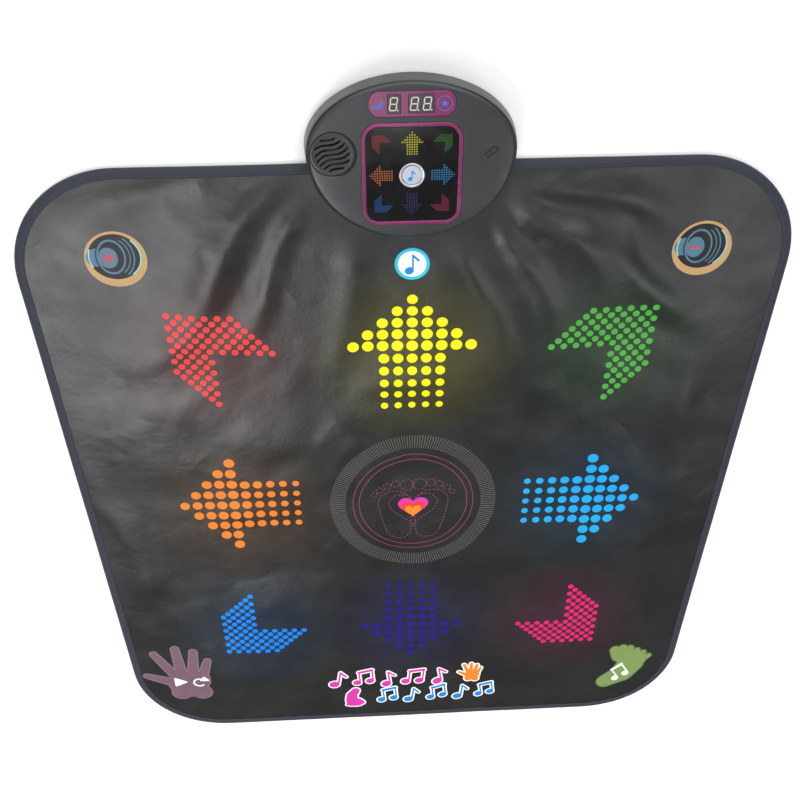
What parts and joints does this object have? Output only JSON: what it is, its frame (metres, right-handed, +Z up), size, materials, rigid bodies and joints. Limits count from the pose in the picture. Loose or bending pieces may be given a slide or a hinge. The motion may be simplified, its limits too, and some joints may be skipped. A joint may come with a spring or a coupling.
{
  "type": "dance rhythm machine",
  "caption": "Soft floor mat with coloured arrow press zones and a low oval console with a push button, digit display and speaker at one end.",
  "frame": {"origin": "middle of the whole footprint, on the floor plane", "axes": "+Z up from the floor; +Y towards the console; +X to the right of a player who faces the console"},
  "size_m": [0.8598, 1.016, 0.044],
  "materials": {
    "cover_sheet": "semi-gloss coated sheet",
    "base_sheet": "matt non-slip weave",
    "foam": "closed-cell foam",
    "film": "clear polyester film with printed tracks",
    "binding_tape": "woven tape",
    "contact_pad": "conductive rubber",
    "flex": "printed polyester tail",
    "housing": "satin moulded",
    "clamp": "moulded",
    "screw_steel": "zinc plated",
    "foot_rubber": "matt",
    "magenta_plastic": "gloss moulded",
    "black_lens": "high gloss",
    "button_silver": "satin plated plastic",
    "button_white": "gloss",
    "black_part": "moulded",
    "led": "phosphor and white resin",
    "circuit_board": "solder mask",
    "connector": "moulded",
    "display_lens": "tinted clear",
    "grille": "satin moulded",
    "speaker_metal": "plated",
    "wire_red": "insulated wire",
    "wire_black": "insulated wire",
    "battery_case": "printed sleeve",
    "contact_metal": "nickel plated"
  },
  "bodies": {
    "machine": {"anti_slip_base": "base_sheet", "lower_film": "film", "spacer_foam": "foam", "upper_film": "film", "printed_cover": "cover_sheet", "edge_binding": "binding_tape", "flex_tail": "flex", "clamp_plate": "clamp", "clamp_screws": "screw_steel", "lower_shell": "housing", "upper_shell": "housing", "housing_screws": "screw_steel", "rubber_feet": "foot_rubber", "panel_frame": "magenta_plastic", "arrow_panel": "black_lens", "tact_switch": "black_part", "light_baffle": "black_part", "arrow_leds": "led", "led_board": "circuit_board", "controller_chip": "black_part", "flex_connector": "connector", "board_screws": "screw_steel", "display_lens": "display_lens", "level_digit": "black_part", "score_digits": "black_part", "display_board": "circuit_board", "board_link": "connector", "speaker_grille": "grille", "speaker_gasket": "foam", "speaker_driver": "speaker_metal", "speaker_wires": "wire_red", "battery_tray": "housing", "batteries": "battery_case", "battery_contacts": "contact_metal", "battery_wires": "wire_black", "switch_body": "contact_metal"},
    "button": {"button_ring": "button_silver", "button_icon": "button_white"},
    "battery_door": {"battery_door": "housing", "door_screw": "screw_steel"},
    "switch_knob": {"switch_knob": "black_part"},
    "pad_rear": {"pad_rear": "contact_pad"},
    "pad_front": {"pad_front": "contact_pad"},
    "pad_left": {"pad_left": "contact_pad"},
    "pad_right": {"pad_right": "contact_pad"},
    "pad_rear_left": {"pad_rear_left": "contact_pad"},
    "pad_rear_right": {"pad_rear_right": "contact_pad"},
    "pad_front_left": {"pad_front_left": "contact_pad"},
    "pad_front_right": {"pad_front_right": "contact_pad"},
    "pad_volume_up": {"pad_volume_up": "contact_pad"},
    "pad_volume_down": {"pad_volume_down": "contact_pad"},
    "pad_wireless": {"pad_wireless": "contact_pad"},
    "pad_hand": {"pad_hand": "contact_pad"},
    "pad_foot": {"pad_foot": "contact_pad"}
  },
  "joints": [
    {"name": "press_rear", "type": "slide", "parent": "machine", "child": "pad_rear", "axis": [0, 0, -1], "range_m": [0, 0.0011], "stiffness_N_per_m": 6000},
    {"name": "press_front", "type": "slide", "parent": "machine", "child": "pad_front", "axis": [0, 0, -1], "range_m": [0, 0.0011], "stiffness_N_per_m": 6000},
    {"name": "press_left", "type": "slide", "parent": "machine", "child": "pad_left", "axis": [0, 0, -1], "range_m": [0, 0.0011], "stiffness_N_per_m": 6000},
    {"name": "press_right", "type": "slide", "parent": "machine", "child": "pad_right", "axis": [0, 0, -1], "range_m": [0, 0.0011], "stiffness_N_per_m": 6000},
    {"name": "press_rear_left", "type": "slide", "parent": "machine", "child": "pad_rear_left", "axis": [0, 0, -1], "range_m": [0, 0.0011], "stiffness_N_per_m": 6000},
    {"name": "press_rear_right", "type": "slide", "parent": "machine", "child": "pad_rear_right", "axis": [0, 0, -1], "range_m": [0, 0.0011], "stiffness_N_per_m": 6000},
    {"name": "press_front_left", "type": "slide", "parent": "machine", "child": "pad_front_left", "axis": [0, 0, -1], "range_m": [0, 0.0011], "stiffness_N_per_m": 6000},
    {"name": "press_front_right", "type": "slide", "parent": "machine", "child": "pad_front_right", "axis": [0, 0, -1], "range_m": [0, 0.0011], "stiffness_N_per_m": 6000},
    {"name": "press_volume_up", "type": "slide", "parent": "machine", "child": "pad_volume_up", "axis": [0, 0, -1], "range_m": [0, 0.0011], "stiffness_N_per_m": 6000},
    {"name": "press_volume_down", "type": "slide", "parent": "machine", "child": "pad_volume_down", "axis": [0, 0, -1], "range_m": [0, 0.0011], "stiffness_N_per_m": 6000},
    {"name": "press_wireless", "type": "slide", "parent": "machine", "child": "pad_wireless", "axis": [0, 0, -1], "range_m": [0, 0.0011], "stiffness_N_per_m": 6000},
    {"name": "press_hand", "type": "slide", "parent": "machine", "child": "pad_hand", "axis": [0, 0, -1], "range_m": [0, 0.0011], "stiffness_N_per_m": 6000},
    {"name": "press_foot", "type": "slide", "parent": "machine", "child": "pad_foot", "axis": [0, 0, -1], "range_m": [0, 0.0011], "stiffness_N_per_m": 6000},
    {"name": "push_button", "type": "slide", "parent": "machine", "child": "button", "axis": [0, 0, -1], "range_m": [0, 0.0011], "stiffness_N_per_m": 1500},
    {"name": "power_slide", "type": "slide", "parent": "machine", "child": "switch_knob", "axis": [1, 0, 0], "range_m": [0, 0.004]},
    {"name": "door_hinge", "type": "hinge", "parent": "machine", "child": "battery_door", "pos_m": [0, 0.48945, 0.0062], "axis": [1, 0, 0], "range_deg": [0, 90]}
  ]
}
